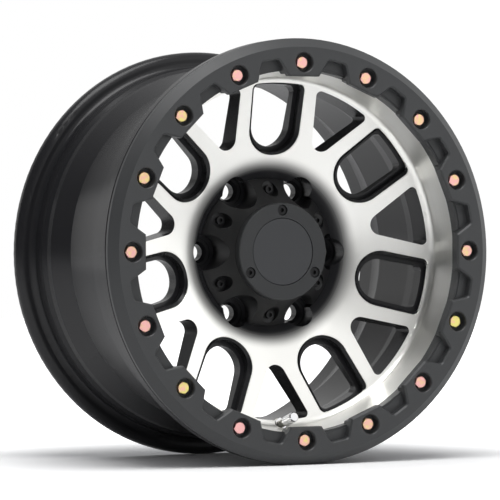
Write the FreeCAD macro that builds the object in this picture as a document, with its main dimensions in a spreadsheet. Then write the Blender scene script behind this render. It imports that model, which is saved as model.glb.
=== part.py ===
import FreeCAD, Part
import Sketcher
import math
import os

# Off-road wheel: a one-piece cast wheel with a bolted trim ring, a bolt-on
# centre cap and a metal clamp-in valve. Millimetres, +Z up. The wheel axis is
# Y, the street side faces -Y, and the origin is the centre of the hub face.

V = FreeCAD.Vector
doc = FreeCAD.newDocument("offroad_wheel")
sheet = doc.addObject("Spreadsheet::Sheet", "sizes")

SIZES = [
    # shared by many features
    ("front_plane", "130.0", "sketch plane ahead of the wheel"),
    ("overrun", "1.0", "how far a cut runs past the far face"),
    ("edge_angle", "45.0", "angle of the bevels"),
    ("thread_fit", "0.1", "clearance where a plain cylinder stands for a thread"),
    ("hole_fit", "0.3", "clearance of a screw in its through hole"),
    # rim: radii hang on rim_r, depths on lip_front_y, which is measured from the hub face
    ("rim_r", "207.4", "outside radius of both flanges"),
    ("flange_h", "17.3", "flange height of a J rim"),
    ("bead_seat_r", "=rim_r - flange_h", "bead seat radius of a 15 inch rim"),
    ("bead_heel_fillet", "6.3", "bead heel fillet"),
    ("bead_heel_r", "=bead_seat_r + bead_heel_fillet", "top of the bead heel fillet"),
    ("lip_front_y", "-103.1", "front of the casting's flange"),
    ("lip_w", "12.1", "thickness of that flange"),
    ("flange_in_y", "=lip_front_y + lip_w", "tyre side of the front flange"),
    ("lip_edge_fillet", "1.0", "front edge round"),
    ("lip_edge_r", "=rim_r - lip_edge_fillet", "front edge round"),
    ("lip_edge_y", "=lip_front_y + lip_edge_fillet", "front edge round"),
    ("lip_back_fillet", "2.0", "back edge round"),
    ("lip_back_r", "=rim_r - lip_back_fillet", "back edge round"),
    ("lip_back_y", "=flange_in_y - lip_back_fillet", "back edge round"),
    ("bead_heel_y", "=flange_in_y + bead_heel_fillet", "front bead seat, flange end"),
    ("seat_w", "14.7", "width of the front bead seat"),
    ("seat_fall", "1.4", "slope of the front bead seat"),
    ("bead_toe_r", "=bead_seat_r - seat_fall", "front bead seat, inner end"),
    ("bead_toe_y", "=bead_heel_y + seat_w", "front bead seat, inner end"),
    ("hump_rise", "1.1", "front safety hump"),
    ("hump_w", "3.5", "front safety hump"),
    ("hump_r", "=bead_toe_r + hump_rise", "front safety hump"),
    ("hump_y", "=bead_toe_y + hump_w", "front safety hump"),
    ("hump_fall", "1.8", "back of that hump"),
    ("hump_back_w", "4.5", "back of that hump"),
    ("ledge_r", "=hump_r - hump_fall", "ledge between hump and well"),
    ("hump_end_y", "=hump_y + hump_back_w", "ledge start"),
    ("ledge_w", "32.0", "width of the ledge"),
    ("ledge_end_y", "=hump_end_y + ledge_w", "ledge end"),
    ("well_drop", "11.5", "depth of the drop centre"),
    ("well_slope_w", "15.0", "width of its front slope"),
    ("well_r", "=ledge_r - well_drop", "drop centre"),
    ("well_front_y", "=ledge_end_y + well_slope_w", "drop centre, front end"),
    ("well_w", "65.0", "width of the drop centre"),
    ("well_back_y", "=well_front_y + well_w", "drop centre, rear end"),
    ("rise_h", "9.7", "height of the rear slope"),
    ("rise_w", "28.0", "width of the rear slope"),
    ("rise_r", "=well_r + rise_h", "rear slope top"),
    ("rise_y", "=well_back_y + rise_w", "rear slope top"),
    ("foot_h", "1.2", "rise to the rear hump's foot"),
    ("foot_w", "6.5", "distance to the rear hump's foot"),
    ("rear_foot_r", "=rise_r + foot_h", "rear hump foot"),
    ("rear_foot_y", "=rise_y + foot_w", "rear hump foot"),
    ("rear_hump_h", "3.0", "height of the rear safety hump"),
    ("rear_hump_w", "4.0", "half width of the rear safety hump"),
    ("rear_hump_fall", "1.5", "back of the rear safety hump"),
    ("rear_hump_r", "=rear_foot_r + rear_hump_h", "rear safety hump"),
    ("rear_hump_y", "=rear_foot_y + rear_hump_w", "rear safety hump"),
    ("rear_toe_r", "=rear_hump_r - rear_hump_fall", "rear bead seat, inner end"),
    ("rear_toe_y", "=rear_hump_y + rear_hump_w", "rear bead seat, inner end"),
    ("rear_seat_w", "12.8", "width of the rear bead seat"),
    ("rear_heel_y", "=rear_toe_y + rear_seat_w", "rear bead seat, flange end"),
    ("rear_flange_y", "=rear_heel_y + bead_heel_fillet", "tyre side of the rear flange"),
    ("flange_roll", "8.0", "rear flange roll radius"),
    ("flange_root_r", "=rim_r - flange_roll", "start of the rear flange roll"),
    ("rear_lip_y", "=rear_flange_y + flange_roll", "end of the rear flange roll"),
    ("rear_edge_w", "3.2", "straight part of the rear edge"),
    ("rear_edge_y", "=rear_lip_y + rear_edge_w", "rear edge round"),
    ("rear_edge_fillet", "2.0", "rear edge round"),
    ("rear_edge_r", "=rim_r - rear_edge_fillet", "rear edge round"),
    ("rear_end_y", "=rear_edge_y + rear_edge_fillet", "rear end of the wheel"),
    ("mouth_w", "5.2", "width of the rear end face"),
    ("rear_mouth_r", "=rear_edge_r - mouth_w", "rear mouth"),
    ("mouth_slope_h", "10.2", "slope inside the rear flange"),
    ("mouth_slope_w", "5.8", "slope inside the rear flange"),
    ("rear_back_r", "=rear_mouth_r - mouth_slope_h", "inside of the rear flange"),
    ("rear_back_y", "=rear_end_y - mouth_slope_w", "inside of the rear flange"),
    ("rear_wall", "6.7", "wall under the rear bead seat"),
    ("rear_back_w", "8.0", "second slope inside the rear flange"),
    ("rear_bore_r", "=bead_seat_r - rear_wall", "barrel inside, rear seat"),
    ("rear_bore_y", "=rear_back_y - rear_back_w", "barrel inside, rear seat"),
    ("hump_wall", "5.0", "wall under the rear hump's foot"),
    ("hump_bore_r", "=rear_foot_r - hump_wall", "barrel inside, rear hump"),
    ("rise_wall", "6.6", "wall at the rear slope's top"),
    ("bore_lag", "4.0", "how far the inside of the barrel lies behind its outside"),
    ("rise_bore_r", "=rise_r - rise_wall", "barrel inside, slope top"),
    ("rise_bore_y", "=rise_y - bore_lag", "barrel inside, slope top"),
    ("well_wall", "6.1", "wall of the drop centre"),
    ("well_bore_r", "=well_r - well_wall", "barrel inside, drop centre"),
    ("well_bore_back_y", "=well_back_y - bore_lag", "barrel inside, drop centre"),
    ("root_lean", "1.95", "draft of the barrel towards the spokes"),
    ("root_w", "16.2", "length of that draft"),
    ("spoke_root_r", "=well_bore_r - root_lean", "fillet between spokes and barrel"),
    ("spoke_root_y", "=well_front_y - root_w", "fillet between spokes and barrel"),
    ("spoke_root_fillet", "9.0", "fillet between spokes and barrel"),
    ("root_fillet_w", "12.05", "reach of that fillet along the spokes"),
    ("root_fillet_h", "7.3", "reach of that fillet along the barrel"),
    ("spoke_back_r", "=spoke_root_r - root_fillet_w", "back of the spokes, outer end"),
    ("spoke_back_y", "=spoke_root_y - root_fillet_h", "back of the spokes, outer end"),
    # hub: the bolt circle sets its radii, the cap's seat its depths
    ("lug_count", "6", "wheel bolts"),
    ("lug_pcd", "139.7", "bolt circle"),
    ("lug_r", "=lug_pcd / 2", "bolt circle radius"),
    ("hub_rim_w", "16.15", "hub face outside the bolt circle"),
    ("hub_face_r", "=lug_r + hub_rim_w", "hub face outside radius"),
    ("hub_wall_w", "4.0", "lean of the hub boss's wall"),
    ("hub_wall_r", "=hub_face_r + hub_wall_w", "foot of the hub boss"),
    ("hub_wall_y", "-12.0", "foot of the hub boss"),
    ("hub_root_w", "8.0", "slope from the hub boss to the spokes"),
    ("hub_root_h", "4.9", "slope from the hub boss to the spokes"),
    ("hub_back_r", "=hub_wall_r + hub_root_w", "back of the spokes, hub end"),
    ("hub_back_y", "=hub_wall_y - hub_root_h", "back of the spokes, hub end"),
    ("hub_bore_r", "53.05", "centre bore"),
    ("hub_chamfer", "1.5", "centre bore chamfer"),
    ("hub_chamfer_r", "=hub_bore_r + hub_chamfer", "centre bore chamfer"),
    ("hub_chamfer_y", "=-hub_chamfer", "centre bore chamfer"),
    ("hub_pad_y", "-17.0", "seat of the centre cap"),
    ("cap_seat_r", "73.4", "wall of the cap's seat"),
    ("cap_seat_h", "13.5", "height of that wall"),
    ("valley_y", "=hub_pad_y - cap_seat_h", "inner edge of the dished face"),
    ("lug_hole_r", "8.3", "through hole"),
    ("lug_pocket_r", "14.0", "pocket for the nut"),
    ("lug_sink", "2.0", "depth of that pocket below the cap's seat"),
    ("lug_floor_y", "=hub_pad_y + lug_sink", "floor of the pocket"),
    ("lug_seat_w", "2.6", "width of the conical seat"),
    ("lug_seat_r", "=lug_hole_r + lug_seat_w", "mouth of the conical seat"),
    ("lug_seat_angle", "30.0", "half angle of the seat"),
    ("lug_seat_depth", "=lug_seat_w / tan(lug_seat_angle)", "depth of the seat"),
    # dished face and the flare up to the trim ring
    ("shoulder_round", "62.0", "round of the face towards the cap"),
    ("shoulder_w", "26.6", "width of that round"),
    ("shoulder_h", "14.3", "height of that round"),
    ("shoulder_r", "=cap_seat_r + shoulder_w", "outer end of that round"),
    ("shoulder_y", "=valley_y - shoulder_h", "outer end of that round"),
    ("dish_tilt", "14.2", "slope of the dished face"),
    ("dish_plane", "=-shoulder_y - shoulder_r * tan(dish_tilt)", "where that slope meets the axis"),
    ("flare_in", "30.6", "flare wall inside the rim"),
    ("flare_top_r", "=rim_r - flare_in", "top of the flare wall"),
    ("flare_lean", "4.6", "lean of the flare wall"),
    ("flare_low_r", "=flare_top_r - flare_lean", "foot of the flare wall"),
    ("flare_fillet", "7.0", "fillet from the face to the flare"),
    ("flare_fillet_w", "5.2", "reach of that fillet along the face"),
    ("flare_fillet_h", "5.65", "reach of that fillet along the flare"),
    ("flare_foot_r", "=flare_low_r - flare_fillet_w", "outer end of the dished face"),
    ("flare_foot_y", "=shoulder_y - (flare_foot_r - shoulder_r) * tan(dish_tilt)", "the same, depth"),
    ("flare_low_y", "=flare_foot_y - flare_fillet_h", "foot of the flare wall"),
    ("register_h", "8.1", "depth of the trim ring's seat"),
    ("ring_seat_y", "=lip_front_y + register_h", "seat of the trim ring"),
    ("register_in", "13.8", "that seat's wall inside the rim"),
    ("register_r", "=rim_r - register_in", "wall that centres the trim ring"),
    # windows
    ("window_count", "7", "windows of each kind"),
    ("window_edge", "1.0", "face left outside the windows"),
    ("window_out_r", "=flare_foot_r - window_edge", "outer end of the windows"),
    ("bevel_lead", "3.0", "start of the window cuts ahead of the face"),
    ("win_slope", "=1 / cos(dish_tilt)", "stretch along the sloped face"),
    ("win_corner_u", "4.1", "wide window, width of an outer corner"),
    ("win_corner_v", "8.5", "wide window, height of an outer corner"),
    ("win_side_u", "28.4", "wide window, half width outside"),
    ("win_side_v", "=window_out_r - win_corner_v", "wide window, top of its sides"),
    ("win_arc_u", "=win_side_u - win_corner_u", "wide window, end of its outer arc"),
    ("win_arc_v", "=sqrt(window_out_r^2 - win_arc_u^2)", "the same"),
    ("win_taper", "1.0", "wide window, draw-in of its sides"),
    ("win_foot_u", "=win_side_u - win_taper", "wide window, half width inside"),
    ("win_reach", "5.5", "wide window, reach into the face's round"),
    ("win_in_r", "=shoulder_r - win_reach", "wide window, inner end"),
    ("win_foot_share", "0.97", "wide window, height of its foot round by its radius"),
    ("win_bevel", "2.5", "painted bevel round the wide window"),
    ("win_ledge_depth", "11.0", "depth of the ledge in its wall"),
    ("win_ledge", "4.2", "width of that ledge at the sides"),
    ("win_ledge_foot", "7.7", "width of that ledge at the foot"),
    ("mid_side_u", "=win_side_u - win_bevel", "upper wall outline"),
    ("mid_side_v", "=win_side_v * win_slope", "upper wall outline"),
    ("mid_arc_u", "=win_arc_u - win_bevel", "upper wall outline"),
    ("mid_arc_v", "=sqrt(window_out_r^2 - mid_arc_u^2) * win_slope", "upper wall outline"),
    ("mid_round", "=window_out_r * win_slope", "upper wall outline"),
    ("mid_foot_u", "=win_foot_u - win_bevel", "upper wall outline"),
    ("mid_drop", "=mid_foot_u * win_foot_share", "upper wall outline"),
    ("mid_in_v", "=(win_in_r + win_bevel) * win_slope", "upper wall outline"),
    ("mid_foot_v", "=mid_in_v + mid_drop", "upper wall outline"),
    ("mid_foot_round", "=(mid_foot_u^2 + mid_drop^2) / (2 * mid_drop)", "upper wall outline"),
    ("low_side_u", "=mid_side_u - win_ledge", "through opening"),
    ("low_arc_u", "=mid_arc_u - win_ledge", "through opening"),
    ("low_arc_v", "=sqrt(window_out_r^2 - low_arc_u^2)", "through opening"),
    ("low_foot_u", "=mid_foot_u - win_ledge", "through opening"),
    ("low_in_r", "=win_in_r + win_bevel + win_ledge_foot", "through opening"),
    ("low_foot_v", "=low_in_r + low_foot_u * win_foot_share", "through opening"),
    ("low_foot_round", "=low_foot_u * (1 + win_foot_share^2) / (2 * win_foot_share)", "through opening"),
    ("win_turn", "41.0", "wide window, half the turn of an outer corner"),
    ("win_chord", "=sqrt(win_corner_u^2 + (low_arc_v - win_side_v)^2)", "wide window, across that corner"),
    ("win_corner", "=win_chord / (2 * sin(win_turn))", "wide window, outer corner round"),
    ("bev_grow", "=1 + bevel_lead / window_out_r", "bevel outline, growth of its outer arc"),
    ("bev_side_u", "=win_side_u + bevel_lead", "bevel outline"),
    ("bev_side_v", "=win_side_v * win_slope", "bevel outline"),
    ("bev_arc_u", "=win_arc_u * bev_grow", "bevel outline"),
    ("bev_arc_v", "=win_arc_v * bev_grow * win_slope", "bevel outline"),
    ("bev_corner", "=win_corner + bevel_lead", "bevel outline"),
    ("bev_top_round", "=window_out_r * win_slope + bevel_lead", "bevel outline"),
    ("bev_foot_u", "=win_foot_u + bevel_lead", "bevel outline"),
    ("bev_drop", "=bev_foot_u * win_foot_share", "bevel outline"),
    ("bev_in_v", "=win_in_r * win_slope - bevel_lead", "bevel outline"),
    ("bev_foot_v", "=bev_in_v + bev_drop", "bevel outline"),
    ("bev_foot_round", "=(bev_foot_u^2 + bev_drop^2) / (2 * bev_drop)", "bevel outline"),
    ("vee_plane", "=overrun - flare_foot_y", "vee window, its sketch just ahead of the face"),
    ("vee_depth", "=vee_plane + hub_back_y + overrun", "vee window, depth of the cut"),
    ("vee_draft", "5.5", "vee window, draft of its walls"),
    ("vee_lean", "24.94", "vee window, lean of its sides"),
    ("vee_foot_round", "12.05", "vee window, inner round"),
    ("vee_clear", "10.1", "vee window, its distance from the face's round"),
    ("vee_in_r", "=shoulder_r + vee_clear", "vee window, inner end"),
    ("vee_foot_r", "=vee_in_r + vee_foot_round", "vee window, inner round's centre from the axis"),
    ("vee_foot_u", "=vee_foot_round * cos(vee_lean)", "vee window, foot of its sides"),
    ("vee_foot_v", "=vee_foot_r - vee_foot_round * sin(vee_lean)", "vee window, foot of its sides"),
    ("vee_corner", "5.09", "vee window, outer corner round"),
    ("vee_corner_r", "=window_out_r - vee_corner", "vee window, that round's centre from the axis"),
    ("vee_off", "=vee_foot_round - vee_corner - vee_foot_r * sin(vee_lean)", "that centre across the sides"),
    ("vee_along", "=sqrt(vee_corner_r^2 - vee_off^2)", "that centre along the sides"),
    ("vee_corner_u", "=vee_along * sin(vee_lean) + vee_off * cos(vee_lean)", "that centre"),
    ("vee_corner_v", "=vee_along * cos(vee_lean) - vee_off * sin(vee_lean)", "that centre"),
    ("vee_side_u", "=vee_corner_u + vee_corner * cos(vee_lean)", "vee window, top of its sides"),
    ("vee_side_v", "=vee_corner_v - vee_corner * sin(vee_lean)", "vee window, top of its sides"),
    ("vee_arc_u", "=vee_corner_u * window_out_r / vee_corner_r", "vee window, end of its outer arc"),
    ("vee_arc_v", "=vee_corner_v * window_out_r / vee_corner_r", "the same"),
    # trim ring: radii hang on the flare, depths on its seat
    ("ring_count", "16", "ring bolts"),
    ("ring_h", "20.9", "height of the ring"),
    ("ring_face_y", "=ring_seat_y - ring_h", "front of the ring"),
    ("ring_bevel_w", "8.7", "outer bevel"),
    ("ring_bevel_h", "7.5", "outer bevel"),
    ("ring_bevel_r", "=rim_r - ring_bevel_w", "inner edge of the outer bevel"),
    ("ring_bevel_y", "=ring_face_y + ring_bevel_h", "outer edge of the bevel"),
    ("ring_seam", "0.5", "gap to the casting's flange"),
    ("ring_back_y", "=lip_front_y - ring_seam", "back of the ring at the flange"),
    ("ring_edge", "1.0", "edge chamfer"),
    ("ring_edge_r", "=rim_r - ring_edge", "edge chamfer"),
    ("ring_edge_y", "=ring_back_y - ring_edge", "edge chamfer"),
    ("ring_fit", "0.3", "radial clearance in the register"),
    ("ring_register_r", "=register_r - ring_fit", "register of the ring"),
    ("ring_lap", "0.4", "reach of the ring past the flare"),
    ("ring_in_r", "=flare_top_r - ring_lap", "inside of the ring between pads"),
    ("pad_reach", "6.3", "reach of the pads inside the ring"),
    ("pad_chord", "=ring_in_r - pad_reach", "straight inner edge of a pad"),
    ("pad_half", "=pad_chord * tan(180 / ring_count)", "half of a side"),
    ("blank_room", "2.1", "what the straight edges take off the blank"),
    ("ring_blank_r", "=pad_chord - blank_room", "inside of the blank"),
    ("ring_shelf_h", "5.5", "height of the pads' back above the seat"),
    ("ring_shelf_y", "=ring_seat_y - ring_shelf_h", "back of the pads"),
    ("pad_cut_room", "18.0", "room of the cuts inside the blank"),
    ("pad_cut", "=ring_blank_r - pad_cut_room", "inner end of the cuts"),
    ("pad_step_w", "2.5", "stepped inner wall of a pad"),
    ("pad_step_h", "8.0", "stepped inner wall of a pad"),
    ("pad_step_chord", "=pad_chord + pad_step_w", "stepped inner wall of a pad"),
    ("pad_step_half", "=pad_step_chord * tan(180 / ring_count)", "half of a side"),
    ("pad_step_y", "=ring_shelf_y - pad_step_h", "height of that step"),
    ("notch_turn", "=180 / ring_count", "notches lie between the bolts"),
    ("notch_depth", "8.4", "depth of the notches"),
    ("notch_floor_y", "=ring_face_y + notch_depth", "floor of the notches"),
    ("notch_room", "8.0", "room of the cut inside the blank"),
    ("notch_in_v", "=ring_blank_r - notch_room", "inner end of the cut"),
    ("notch_len", "11.4", "reach of the notches into the ring"),
    ("notch_corner", "3.5", "outer corner round"),
    ("notch_corner_u", "3.21", "outer corner, width"),
    ("notch_corner_v", "2.11", "outer corner, height"),
    ("notch_top_v", "=ring_in_r + notch_len", "outer edge"),
    ("notch_side_v", "=notch_top_v - notch_corner_v", "top of the sides"),
    ("notch_side_u", "10.16", "top of the sides"),
    ("notch_top_u", "=notch_side_u - notch_corner_u", "outer edge"),
    ("notch_lean", "23.35", "lean of the sides"),
    ("notch_in_u", "=notch_side_u + (notch_side_v - notch_in_v) * tan(notch_lean)", "inner end of the cut"),
    ("notch_bevel", "1.5", "bevel of the notch edges"),
    ("gap_sag", "0.59", "sag of the ring's inside across a notch"),
    ("gap_side_v", "=ring_in_r - gap_sag", "open part of the notch"),
    ("gap_side_u", "=notch_side_u + (notch_side_v - gap_side_v) * tan(notch_lean)", "open part of the notch"),
    ("groove_w", "2.2", "step along the notch floor's inner edge"),
    ("groove_h", "1.0", "height of that step"),
    ("groove_sag", "0.53", "sag of that step across a notch"),
    ("groove_r", "=ring_in_r + groove_w", "that step"),
    ("groove_side_v", "=groove_r - groove_sag", "that step"),
    ("groove_side_u", "=notch_side_u + (notch_side_v - groove_side_v) * tan(notch_lean)", "that step"),
    ("groove_y", "=notch_floor_y + groove_h", "that step"),
    ("bolt_in", "7.2", "ring bolts outside the ring's inside"),
    ("bolt_ring_r", "=ring_in_r + bolt_in", "ring bolt circle"),
    ("bolt_bore_r", "9.6", "counterbore"),
    ("bolt_bore_edge", "0.8", "counterbore edge"),
    ("bolt_bore_edge_r", "=bolt_bore_r + bolt_bore_edge", "counterbore edge"),
    ("bolt_sink", "9.05", "depth of the counterbore"),
    ("bolt_seat_y", "=ring_face_y + bolt_sink", "floor of the counterbore"),
    ("bolt_r", "3.175", "quarter inch bolt"),
    ("bolt_clear_r", "=bolt_r + hole_fit", "hole in the ring"),
    ("bolt_tap_r", "=bolt_r + thread_fit", "hole in the casting"),
    ("bolt_len", "22.85", "length of the bolt under its head"),
    ("bolt_end_y", "=bolt_seat_y + bolt_len", "end of the bolt"),
    ("bolt_hole_room", "2.5", "hole past the end of the bolt"),
    ("bolt_hole_y", "=bolt_end_y + bolt_hole_room", "end of its hole"),
    ("bolt_head_h", "4.1", "hex head height"),
    ("bolt_across", "11.1", "across the flats of the hex"),
    ("bolt_corner_r", "=bolt_across / 2 / cos(30)", "hex corner radius"),
    ("bolt_top_y", "=bolt_seat_y - bolt_head_h", "top of the hex head"),
    ("bolt_crown_share", "0.47", "flat round top of the head by its width across the flats"),
    ("bolt_crown_r", "=bolt_across * bolt_crown_share", "flat round top of the hex head"),
    ("bolt_crown_angle", "30.0", "slope from that flat down to the corners"),
    ("bolt_crown_out", "=bolt_corner_r + overrun", "outer end of the crown's cut"),
    ("bolt_crown_v", "=bolt_ring_r + bolt_crown_r", "crown's cut"),
    ("bolt_crown_out_v", "=bolt_ring_r + bolt_crown_out", "crown's cut"),
    ("bolt_crown_y", "=bolt_top_y + (bolt_crown_out - bolt_crown_r) * tan(bolt_crown_angle)", "crown's cut"),
    # centre cap
    ("cap_fit", "0.3", "clearance of the cap in its seat"),
    ("cap_r", "=cap_seat_r - cap_fit", "outside radius"),
    ("cap_edge_h", "14.0", "height of the cap's edge"),
    ("cap_edge_y", "=hub_pad_y - cap_edge_h", "outer edge of the flank"),
    ("cap_rise", "28.0", "height of the flank"),
    ("cap_flank_w", "24.5", "width of the flank"),
    ("cap_top_r", "=cap_r - cap_flank_w", "top of the flank"),
    ("cap_top_y", "=cap_edge_y - cap_rise", "seat of the bezel"),
    ("cap_flank_round", "90.0", "hollow of the flank"),
    ("cap_wall", "2.6", "wall at the top of the flank"),
    ("cap_hollow_r", "=cap_top_r - cap_wall", "hollow inside"),
    ("cap_crown_h", "6.0", "thickness of the crown"),
    ("cap_crown_y", "=cap_top_y + cap_crown_h", "hollow inside"),
    ("cap_hollow_edge", "6.0", "bevel of the hollow"),
    ("cap_hollow_y", "=cap_crown_y + cap_hollow_edge", "hollow inside"),
    ("cap_crown_r", "=cap_hollow_r - cap_hollow_edge", "hollow inside"),
    ("scoop_r", "18.05", "cut for each wheel nut"),
    ("screw_in", "11.1", "cap screws inside the cap's seat"),
    ("screw_r", "=cap_seat_r - screw_in", "cap screw circle"),
    ("screw_pocket_r", "7.8", "pocket of a cap screw"),
    ("screw_lift", "2.2", "floor of that pocket above the cap's edge"),
    ("screw_seat_y", "=cap_edge_y - screw_lift", "floor of that pocket"),
    ("screw_head_r", "3.95", "screw head"),
    ("screw_head_h", "4.8", "screw head"),
    ("screw_head_y", "=screw_seat_y - screw_head_h", "screw head top"),
    ("screw_shank_r", "2.415", "screw shank"),
    ("screw_clear_r", "=screw_shank_r + hole_fit", "hole in the cap"),
    ("screw_tap_r", "=screw_shank_r + thread_fit", "tapped hole"),
    ("screw_grip", "10.5", "length of the screw in the casting"),
    ("screw_end_y", "=hub_pad_y + screw_grip", "end of the screw"),
    ("screw_hole_room", "2.0", "hole past the end of the screw"),
    ("screw_hole_y", "=screw_end_y + screw_hole_room", "end of its hole"),
    ("socket_across", "4.0", "hex socket"),
    ("socket_r", "=socket_across / 2 / cos(30)", "hex socket corner"),
    ("socket_depth", "2.6", "hex socket"),
    ("bezel_set", "0.6", "edge of the cap outside the bezel"),
    ("bezel_r", "=cap_top_r - bezel_set", "bezel outside"),
    ("bezel_h", "8.0", "bezel height"),
    ("bezel_face_y", "=cap_top_y - bezel_h", "bezel face"),
    ("bezel_edge", "1.0", "bezel edge chamfer"),
    ("bezel_edge_r", "=bezel_r - bezel_edge", "bezel edge chamfer"),
    ("bezel_edge_y", "=bezel_face_y + bezel_edge", "bezel edge chamfer"),
    ("bezel_w", "15.0", "width of the bezel round the disc"),
    ("disc_r", "=bezel_r - bezel_w", "centre disc"),
    ("disc_fit", "0.35", "gap round the disc"),
    ("disc_hole_r", "=disc_r + disc_fit", "recess for the disc"),
    ("disc_set", "0.2", "disc below the bezel's face"),
    ("disc_h", "3.0", "thickness of the disc"),
    ("disc_face_y", "=bezel_face_y + disc_set", "disc face"),
    ("disc_back_y", "=disc_face_y + disc_h", "disc back and recess floor"),
    ("disc_edge", "0.6", "disc edge chamfer"),
    ("disc_edge_r", "=disc_r - disc_edge", "disc edge chamfer"),
    ("disc_edge_y", "=disc_face_y + disc_edge", "disc edge chamfer"),
    ("bezel_screw_count", "3", "bezel screws"),
    ("bezel_screw_in", "7.1", "bezel screws inside the bezel's edge"),
    ("bezel_screw_r", "=bezel_r - bezel_screw_in", "bezel screw circle"),
    ("bezel_pocket_r", "5.4", "screw pocket"),
    ("bezel_screw_sink", "5.5", "depth of the screw pocket"),
    ("bezel_seat_y", "=bezel_face_y + bezel_screw_sink", "floor of the screw pocket"),
    ("bezel_head_fit", "0.8", "gap round the screw head"),
    ("bezel_head_r", "=bezel_pocket_r - bezel_head_fit", "screw head"),
    ("bezel_head_h", "3.9", "screw head"),
    ("bezel_head_y", "=bezel_seat_y - bezel_head_h", "screw head top"),
    ("bezel_screw_len", "7.9", "length of the screw under its head"),
    ("bezel_screw_end_y", "=bezel_seat_y + bezel_screw_len", "end of the screw"),
    ("bezel_tap_y", "=cap_hollow_y + 2 * overrun", "end of the screw's hole in the cap"),
    # valve, depths along its own axis from the floor of its pocket
    ("valve_tilt", "-15.55", "lean of the valve towards the axis"),
    ("valve_out", "4.2", "pocket floor outside the dished face"),
    ("valve_sink", "7.65", "pocket floor below the face's outer end"),
    ("valve_r", "=flare_foot_r + valve_out", "pocket floor, distance from the axis"),
    ("valve_y", "=flare_foot_y + valve_sink", "pocket floor, depth"),
    ("valve_pocket_r", "7.6", "pocket in the casting"),
    ("valve_pocket_top", "45.0", "start of the pocket cut"),
    ("valve_hole_r", "4.9", "hole in the casting"),
    ("valve_spot_r", "10.5", "spot face on the tyre side"),
    ("valve_spot", "27.0", "depth of the spot face"),
    ("valve_spot_room", "33.0", "length of the spot face cut"),
    ("stem_r", "3.9", "stem"),
    ("stem_fit", "0.15", "clearance round the stem"),
    ("stem_hole_r", "=stem_r + stem_fit", "hole for the stem"),
    ("stem_top", "31.0", "tip of the stem"),
    ("stem_wall", "1.3", "wall of the stem"),
    ("stem_bore_r", "=stem_r - stem_wall", "air way"),
    ("stem_head_r", "8.0", "head on the tyre side"),
    ("stem_head_h", "3.0", "head on the tyre side"),
    ("grommet_r", "9.0", "rubber washer"),
    ("grommet_h", "4.0", "rubber washer"),
    ("seal_fit", "0.15", "clearance of the rubber neck in its hole"),
    ("grommet_neck_r", "=valve_hole_r - seal_fit", "rubber neck"),
    ("grommet_neck_h", "8.0", "rubber neck"),
    ("washer_fit", "0.9", "gap round the steel washer"),
    ("washer_r", "=valve_pocket_r - washer_fit", "steel washer"),
    ("washer_h", "1.2", "steel washer"),
    ("nut_across", "11.0", "valve nut"),
    ("nut_corner_r", "=nut_across / 2 / cos(30)", "valve nut"),
    ("nut_h", "5.0", "valve nut"),
    ("vcap_len", "17.7", "length of the valve cap"),
    ("vcap_crown", "2.8", "closed end of the valve cap"),
    ("vcap_air", "2.4", "room between stem and valve cap"),
    ("vcap_bore_top", "=stem_top + vcap_air", "inside of the valve cap"),
    ("vcap_top", "=vcap_bore_top + vcap_crown", "closed end of the valve cap"),
    ("vcap_foot", "=vcap_top - vcap_len", "open end of the valve cap"),
    ("vcap_fit", "0.3", "clearance of the valve cap on the stem"),
    ("vcap_wall", "0.7", "wall of the valve cap"),
    ("vcap_bore_r", "=stem_r + vcap_fit", "inside of the valve cap"),
    ("vcap_r", "=vcap_bore_r + vcap_wall", "valve cap"),
    ("vcap_edge", "0.9", "edge of the valve cap"),
    ("vcap_edge_r", "=vcap_r - vcap_edge", "edge of the valve cap"),
    ("vcap_edge_top", "=vcap_top - vcap_edge", "edge of the valve cap"),
    ("core_r", "=stem_bore_r - thread_fit", "valve core"),
    ("core_set", "1.5", "valve core below the stem's tip"),
    ("core_len", "17.5", "length of the valve core"),
    ("core_top", "=stem_top - core_set", "valve core, outer end"),
    ("core_foot", "=core_top - core_len", "valve core, inner end"),
    ("core_pin_r", "0.8", "valve pin"),
    ("core_pin_out", "1.1", "valve pin, reach past the core"),
    ("core_pin_top", "=core_top + core_pin_out", "valve pin"),
    ("pin_fit", "0.25", "clearance of the valve pin"),
    ("cup_gap", "0.2", "gap between seal cup and core"),
    ("core_hole_r", "=core_pin_r + pin_fit", "hole for the valve pin"),
    ("cup_fit", "0.7", "gap round the seal cup"),
    ("pin_cup_r", "=stem_bore_r - cup_fit", "seal cup on the valve pin"),
    ("pin_cup_h", "2.0", "seal cup on the valve pin"),
    ("pin_cup_top", "=core_foot - cup_gap", "seal cup, just under the core"),
    ("pin_foot", "=pin_cup_top - pin_cup_h", "inner end of the valve pin"),
    ("below_spot", "=-valve_spot", "spot face on the valve's axis"),
    ("below_grommet", "=below_spot - grommet_h", "back of the rubber washer"),
    ("below_head", "=below_grommet - stem_head_h", "back of the stem's head"),
    ("neck_top", "=below_spot + grommet_neck_h", "end of the rubber neck"),
    ("nut_top", "=washer_h + nut_h", "top of the valve nut"),
]

for row, (alias, text, note) in enumerate(SIZES, start=1):
    sheet.set("A%d" % row, note)
    sheet.set("B%d" % row, text)
    sheet.setAlias("B%d" % row, alias)
doc.recompute()


def val(alias):
    """Value of a size; a leading minus mirrors it, None is zero."""
    if alias is None:
        return 0.0
    if alias.startswith("-"):
        return -float(sheet.get(alias[1:]))
    return float(sheet.get(alias))


def ref(alias):
    """The same size as an expression."""
    if alias.startswith("-"):
        return "-sizes." + alias[1:]
    return "sizes." + alias


def new_body(label):
    body = doc.addObject("PartDesign::Body", label)
    body.Label = label
    return body


def origin(body, role):
    return [f for f in body.Origin.OriginFeatures if f.Role == role][0]


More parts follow.
